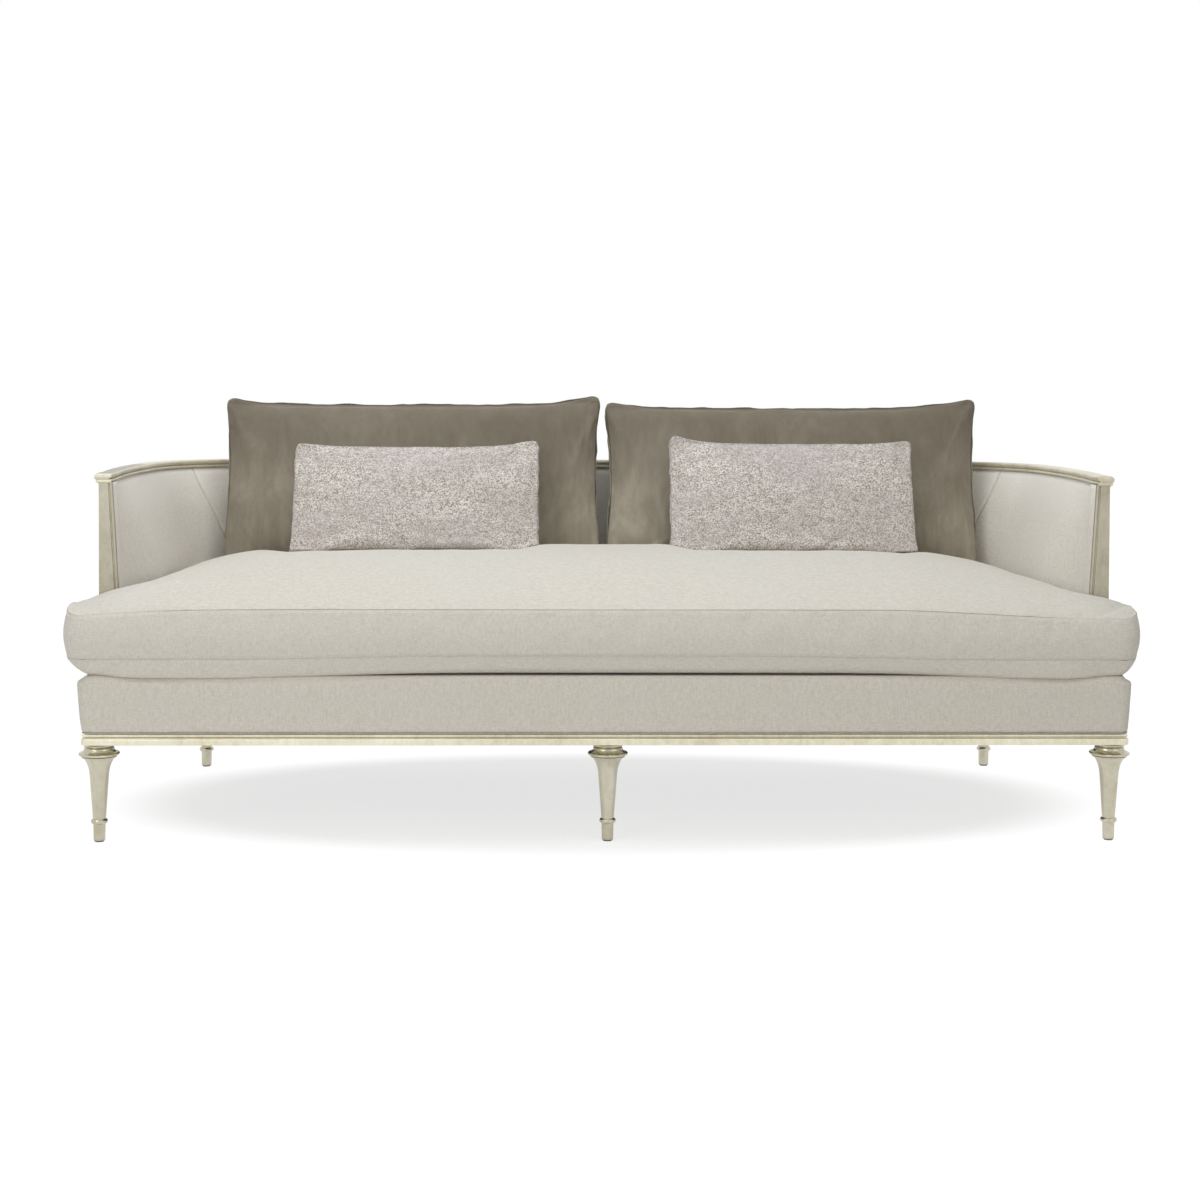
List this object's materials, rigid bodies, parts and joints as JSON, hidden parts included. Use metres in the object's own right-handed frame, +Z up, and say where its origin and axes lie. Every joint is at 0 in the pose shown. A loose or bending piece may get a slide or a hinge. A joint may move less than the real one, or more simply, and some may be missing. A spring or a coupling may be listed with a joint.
{
  "type": "tub sofa",
  "caption": "Tub-shaped sofa with leafed show-wood posts, rail and plinth, turned legs, a crowned T-shaped bench cushion, loose back cushions and lumbar pillows.",
  "frame": {"origin": "on the floor, under the centre of the sofa's bounding box", "axes": "+X across the sofa towards the right side as seen from the front, +Y from the front to the back, +Z up"},
  "size_m": [2.232, 0.962, 0.9048],
  "materials": {
    "show_wood": "champagne metal leaf under satin lacquer",
    "upholstery": "light woven linen-like cloth",
    "velvet": "taupe velvet",
    "chenille": "heathered chenille",
    "hardwood": "planed, unfinished",
    "webbing": "black woven",
    "steel": "zinc plated",
    "glide": "moulded"
  },
  "bodies": {
    "frame": {"plinth_front": "show_wood", "plinth_side_left": "show_wood", "plinth_side_right": "show_wood", "plinth_corner_left": "show_wood", "plinth_corner_right": "show_wood", "plinth_back": "show_wood", "leg_front_left": "show_wood", "leg_front_centre": "show_wood", "leg_front_right": "show_wood", "leg_rear_left": "show_wood", "leg_rear_right": "show_wood", "post_left": "show_wood", "post_right": "show_wood", "top_rail_arm_left": "show_wood", "top_rail_arm_right": "show_wood", "top_rail_corner_left": "show_wood", "top_rail_corner_right": "show_wood", "top_rail_back": "show_wood", "seat_rail_front": "hardwood", "seat_rail_left": "hardwood", "seat_rail_right": "hardwood", "seat_rail_corner_left": "hardwood", "seat_rail_corner_right": "hardwood", "seat_rail_back": "hardwood", "stretchers": "hardwood", "corner_blocks": "hardwood", "arm_studs_left": "hardwood", "arm_studs_right": "hardwood", "back_studs": "hardwood", "rail_dowels": "hardwood", "hanger_bolts": "steel", "block_screws": "steel", "leg_glides": "glide", "webbing_long": "webbing", "webbing_cross": "webbing", "deck_pad": "upholstery", "dust_cover": "webbing", "apron": "upholstery", "outside_arm_left": "upholstery", "outside_arm_right": "upholstery", "outside_back": "upholstery", "inside_arm_left": "upholstery", "inside_arm_right": "upholstery", "inside_back": "upholstery"},
    "seat_cushion": {"seat_cushion": "upholstery"},
    "back_cushion_left": {"back_cushion_left": "velvet"},
    "back_cushion_right": {"back_cushion_right": "velvet"},
    "lumbar_pillow_left": {"lumbar_pillow_left": "chenille"},
    "lumbar_pillow_right": {"lumbar_pillow_right": "chenille"}
  },
  "joints": [
    {"name": "seat_lift", "type": "slide", "parent": "frame", "child": "seat_cushion", "axis": [0, -0.94, 0.3412], "range_m": [0, 0.45]},
    {"name": "back_lift_left", "type": "slide", "parent": "seat_cushion", "child": "back_cushion_left", "axis": [0, -0.3, 0.9539], "range_m": [0, 0.35]},
    {"name": "back_lift_right", "type": "slide", "parent": "seat_cushion", "child": "back_cushion_right", "axis": [0, -0.3, 0.9539], "range_m": [0, 0.35]},
    {"name": "pillow_lift_left", "type": "slide", "parent": "back_cushion_left", "child": "lumbar_pillow_left", "axis": [0, -0.5, 0.866], "range_m": [0, 0.3]},
    {"name": "pillow_lift_right", "type": "slide", "parent": "back_cushion_right", "child": "lumbar_pillow_right", "axis": [0, -0.5, 0.866], "range_m": [0, 0.3]}
  ]
}
